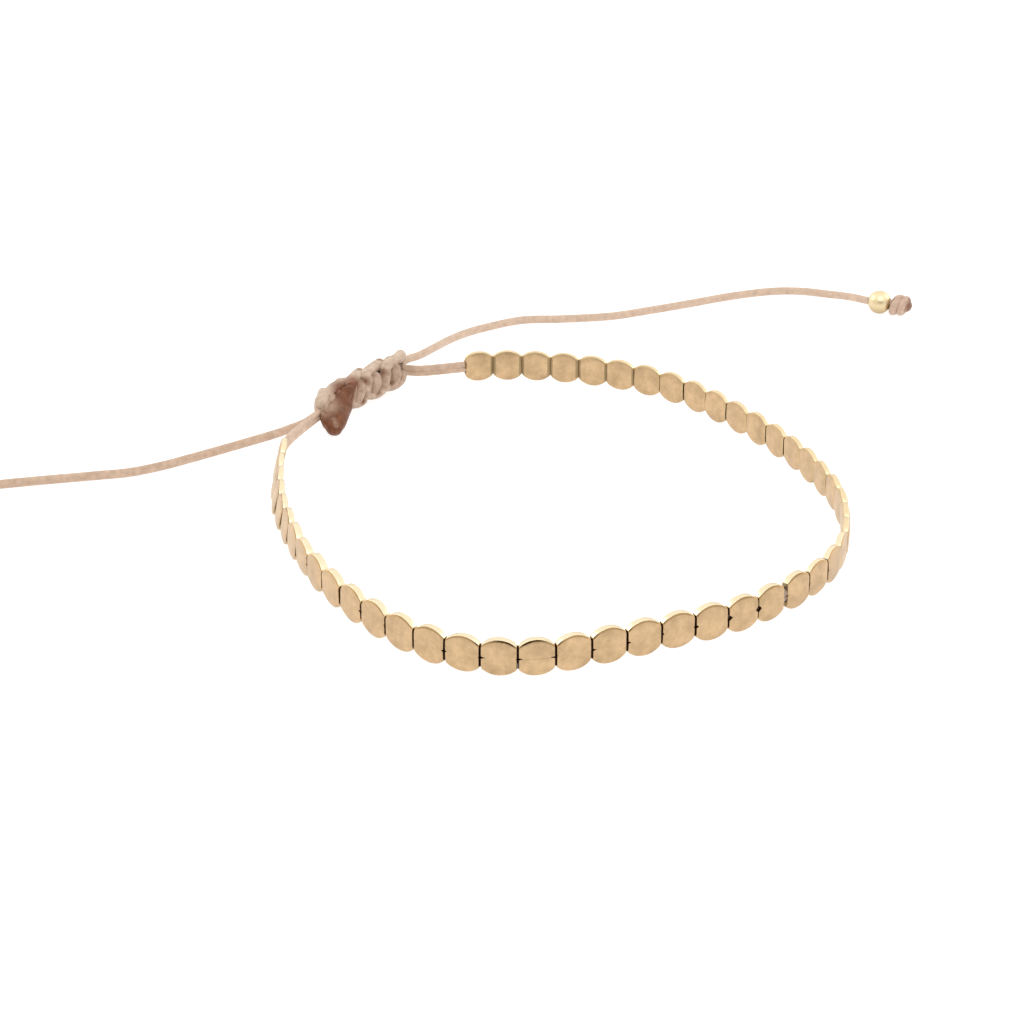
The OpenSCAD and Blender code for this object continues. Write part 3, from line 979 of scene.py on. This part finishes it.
# Cords over the knot's back: distance from their start, angle, and how far in they lie
BACK = [(1.2, 75, 0.2), (1.0, 110, 0), (0.5, 150, 0), (0, 190, 0), (-0.4, 230, 0), (-0.7, 285, 0.2)]
BACK_CORDS = 8
BACK_START = -0.4
BACK_STEP = 1.6
BACK_R = 1.4
FIRST_BACK_R = 1.2
BACK_SIZE = (0.72, 0.56)
# The two cords that the knot is tied round: their stretch along the axis, and their place off it
CORE_STRETCH = np.arange(-1.3, 12.9, 0.15)
CORE_APART = 0.4
CORE_SIZE = (0.85, 0.62)
CORE_SIDES = 20
# Shift of the braid from one cord to the next
BRAID_SHIFT = 3
BACK_BRAID_SHIFT = 5
KNOT_HIGH = 4.09
KNOT_TONE, LOOP_SHADE_TONE, CORE_SHADE_TONE = range(3)
# Groups of cords, with half width, half height and tone; the loops and lower bars are darker with painted
# shade
KNOT_GROUPS = [
    (BARS, 0.64, 0.62, KNOT_TONE),
    (LOOPS, 0.66, 0.54, LOOP_SHADE_TONE),
    (LOWER_BARS, 0.45, 0.44, LOOP_SHADE_TONE),
]


def knot_point(s, angle, radius):
    """A point at a distance along the knot's axis, an angle in degrees from its front, and a radius."""
    a = math.radians(angle)
    return KNOT_LEFT + s * KNOT_AXIS + radius * (math.cos(a) * KNOT_FRONT + math.sin(a) * KNOT_TOP)


def knot_cord(stops, across, height, start):
    line = spaced(smooth_line([knot_point(*stop) for stop in stops], steps=8), CORD_STEP)
    hint = line[0] - KNOT_LEFT
    hint = hint - np.dot(hint, KNOT_AXIS) * KNOT_AXIS
    return sweep(line, across, height, KNOT_SIDES, hint=hint, cell=0.42, depth=0.06, start=start)


def sliding_knot():
    parts = []
    tones = []
    for group, across, height, tone in KNOT_GROUPS:
        parts += [knot_cord(stops, across, height, BRAID_SHIFT * k) for k, stops in enumerate(group)]
        tones += [tone] * len(group)
    for k in range(BACK_CORDS):
        s = BACK_START + BACK_STEP * k
        r = FIRST_BACK_R if k == 0 else BACK_R
        back = [(s + ahead, angle, r - sink) for ahead, angle, sink in BACK]
        parts.append(knot_cord(back, *BACK_SIZE, BACK_BRAID_SHIFT * k))
        tones.append(KNOT_TONE)
    # The core cords carry painted deep shade
    for sign in (1, -1):
        line = np.array([KNOT_LEFT + KNOT_AXIS * x + KNOT_TOP * sign * CORE_APART for x in CORE_STRETCH])
        parts.append(sweep(line, *CORE_SIZE, CORE_SIDES))
        tones.append(CORE_SHADE_TONE)
    verts, faces, uvs = merge(parts)
    verts[:, 2] = np.clip(verts[:, 2], LEAST_Z, KNOT_HIGH)
    kinds = [tone for tone, part in zip(tones, parts) for _ in part[1]]
    materials = [KNOT_CORD, SHADED_LOOP_CORD, SHADED_CORE_CORD]
    make_piece("knot_sliding", verts, faces, materials, ["slide_knot"], kinds=kinds, uvs=uvs)


sliding_knot()


# Melted end of the knot's cord: a satin brown tongue

BURNT_TONES = ((0.11, 0.030, 0.010), (0.20, 0.074, 0.03))
GREY_TONES = ((0.20, 0.10, 0.058), (0.46, 0.315, 0.225))
# Its greyish and paler patches: centre, and the reach over which they fade, in metres
GREY_PATCH = ((-0.0252, 0.0193, 0.0027), (0.0012, 0.0025))
PALE_PATCH = ((-0.0239, 0.0170, 0.0018), (0.0004, 0.0009))
PALE_BROWN = (0.34, 0.20, 0.14)
PATCH_RAGGED = 0.0007
MELT_HEIGHT = 0.00012


def melt_material():
    """Nylon burnt dark along one side, paler and clouded on the other, with a thin glaze."""
    material, nodes, links, bsdf = new_material("melted_nylon")
    place = nodes.new("ShaderNodeTexCoord").outputs["Object"]
    streaks = noise_node(nodes, links, place, scale=1300, detail=4, rough=0.65)
    clouds = remap(nodes, links, streaks, STREAKY, 0, 1)
    colour = mix_colour(nodes, links, clouds, *BURNT_TONES)
    grey = mix_colour(nodes, links, clouds, *GREY_TONES)
    for (centre, reach), tone in ((GREY_PATCH, grey), (PALE_PATCH, PALE_BROWN)):
        away = distance_from(nodes, links, place, centre)
        ragged = nodes.new("ShaderNodeMath")
        ragged.operation = "MULTIPLY_ADD"
        links.new(clouds, ragged.inputs[0])
        ragged.inputs[1].default_value = PATCH_RAGGED
        links.new(away, ragged.inputs[2])
        amount = remap(nodes, links, ragged.outputs["Value"], reach, 1, 0)
        colour = mix_colour(nodes, links, amount, colour, tone)
    links.new(colour, bsdf.inputs["Base Color"])
    bsdf.inputs["Roughness"].default_value = 0.45
    bsdf.inputs["Specular IOR Level"].default_value = 0.25
    bsdf.inputs["Coat Weight"].default_value = 0.03
    bsdf.inputs["Subsurface Weight"].default_value = 0.08
    bsdf.inputs["Subsurface Radius"].default_value = (0.0006, 0.0003, 0.0002)
    add_bump(nodes, links, bsdf, streaks, 0.4, MELT_HEIGHT)
    return material


# Chains of lumps, each with its centre and radius
MELTED = [
    [
        ((-22.5, 23.7, 3.15), 0.6), ((-22.8, 22.6, 3.1), 0.7), ((-22.95, 21.6, 2.6), 0.72),
        ((-23.2, 20.6, 2.05), 0.9), ((-23.7, 19.4, 1.65), 1.15), ((-24.1, 18.3, 1.35), 1.2),
        ((-24.15, 17.6, 1.1), 1.02),
    ],
    [
        ((-23.1, 22.9, 3.0), 0.7), ((-23.5, 22.0, 2.95), 0.65), ((-23.5, 20.9, 2.5), 0.8),
        ((-23.8, 19.8, 1.9), 1.0),
    ],
    [
        ((-24.2, 21.6, 3.05), 0.5), ((-24.0, 20.6, 2.5), 0.75), ((-24.6, 19.6, 2.15), 0.85),
        ((-24.95, 18.9, 1.75), 0.88), ((-24.5, 18.2, 1.35), 1.05), ((-24.15, 17.7, 1.15), 1.0),
    ],
]
BETWEEN = (0, 0.33, 0.67, 1)
LUMP_RINGS = 16
LUMP_TURNS = 24
VOXEL = 0.00012
SOFTEN_TIMES = 14
# Roughness of its surface: waves per millimetre, and height
MELT_WAVES = [(0.9, 0.10), (2.3, 0.04)]


def melted_end():
    lumps = bpy.data.meshes.new("lumps")
    verts = []
    faces = []
    lumps_at = []
    for chain in MELTED:
        for (a, ra), (b, rb) in zip(chain, chain[1:]):
            for f in BETWEEN:
                lumps_at.append((np.array(a) * (1 - f) + np.array(b) * f, ra * (1 - f) + rb * f))
    for centre, r in lumps_at:
        base = len(verts)
        for i in range(LUMP_RINGS + 1):
            a = math.pi * i / LUMP_RINGS
            for k in range(LUMP_TURNS):
                b = 2 * math.pi * k / LUMP_TURNS
                way = np.array((math.sin(a) * math.cos(b), math.sin(a) * math.sin(b), math.cos(a)))
                verts.append(centre + r * way)
        for i in range(LUMP_RINGS):
            for k in range(LUMP_TURNS):
                n = (k + 1) % LUMP_TURNS
                a = base + i * LUMP_TURNS
                b = a + LUMP_TURNS
                faces.append((a + k, b + k, b + n, a + n))
    lumps.from_pydata((np.array(verts) * MM).tolist(), [], faces)
    source = bpy.data.objects.new("lumps", lumps)
    scene.collection.objects.link(source)
    remesh = source.modifiers.new("join", "REMESH")
    remesh.mode = "VOXEL"
    remesh.voxel_size = VOXEL
    soften = source.modifiers.new("soften", "SMOOTH")
    soften.factor = 0.5
    soften.iterations = SOFTEN_TIMES
    evaluated = source.evaluated_get(bpy.context.evaluated_depsgraph_get())
    joined = bpy.data.meshes.new_from_object(evaluated)
    points = np.array([v.co for v in joined.vertices]) / MM
    normals = np.array([v.normal for v in joined.vertices])
    faces = [tuple(p.vertices) for p in joined.polygons]
    bpy.data.objects.remove(source)
    rough = np.array([sum(noise.noise(Vector(p * rate)) * size for rate, size in MELT_WAVES) for p in points])
    points = points + normals * rough[:, None]
    points[:, 2] = np.maximum(points[:, 2], LEAST_Z)
    return make_piece("cord_melted_end", points, faces, [melt_material()], ["singed_end"])


melted_end()


# Floor and light

FLOOR_HALF = 4.0
FLOOR_TONES = ((0.39, 0.39, 0.39), (0.41, 0.41, 0.41))
FLOOR_GLOW = 0.82
# The studio's dark wall: its direction, the nearness to it over which it fades in, and its tone
DARK_WAY = (0.0, -0.883, 0.469)
DARK_FADE = (0.86, 0.95)
DARK_TONE = (0.07, 0.035, 0.015)
# The rest of the studio: the heights between which it gets brighter, and its tones
SKY_FADE = (0.05, 0.45)
SKY_TONES = ((0.76, 0.752, 0.737), (1.0, 0.99, 0.97))
SKY_STRENGTH = 1.08
# Lamps: name, place, turn in degrees, size and power
LAMPS = [
    ("light_front", (0.06, -0.42, 0.56), (37, 5, 0), 0.46, 1.4),
    ("light_right", (0.75, 0.35, 0.4), (-25, 56, 0), 0.5, 1.0),
    ("light_left", (-0.75, 0.35, 0.4), (-25, -56, 0), 0.5, 1.4),
]


def stage_floor():
    material, nodes, links, bsdf = new_material("floor_white")
    place = nodes.new("ShaderNodeTexCoord").outputs["Object"]
    tone = noise_node(nodes, links, place, scale=40, detail=2, rough=0.5)
    white = mix_colour(nodes, links, tone, *FLOOR_TONES)
    links.new(white, bsdf.inputs["Base Color"])
    bsdf.inputs["Emission Color"].default_value = (1, 1, 1, 1)
    bsdf.inputs["Emission Strength"].default_value = FLOOR_GLOW
    bsdf.inputs["Roughness"].default_value = 0.8
    mesh = bpy.data.meshes.new("floor")
    corners = [(x * FLOOR_HALF, y * FLOOR_HALF, 0) for x, y in ((-1, -1), (1, -1), (1, 1), (-1, 1))]
    mesh.from_pydata(corners, [], [(0, 1, 2, 3)])
    mesh.materials.append(material)
    floor = bpy.data.objects.new("floor", mesh)
    scene.collection.objects.link(floor)


def studio_light():
    world = bpy.data.worlds.new("studio")
    world.use_nodes = True
    nodes = world.node_tree.nodes
    links = world.node_tree.links
    background = nodes["Background"]
    place = nodes.new("ShaderNodeTexCoord").outputs["Generated"]
    toward = nodes.new("ShaderNodeVectorMath")
    toward.operation = "DOT_PRODUCT"
    links.new(place, toward.inputs[0])
    toward.inputs[1].default_value = DARK_WAY
    shade = remap(nodes, links, toward.outputs["Value"], DARK_FADE, 1, 0)
    raised = remap(nodes, links, height_of(nodes, links, place), SKY_FADE, 0, 1)
    sky = mix_colour(nodes, links, raised, *SKY_TONES)
    tint = mix_colour(nodes, links, shade, DARK_TONE, sky)
    links.new(tint, background.inputs["Color"])
    background.inputs["Strength"].default_value = SKY_STRENGTH
    scene.world = world
    for name, at, turn, size, power in LAMPS:
        data = bpy.data.lights.new(name, "AREA")
        data.size = size
        data.energy = power
        lamp = bpy.data.objects.new(name, data)
        lamp.location = at
        lamp.rotation_euler = [math.radians(a) for a in turn]
        scene.collection.objects.link(lamp)
    scene.view_settings.view_transform = "Standard"


stage_floor()
studio_light()
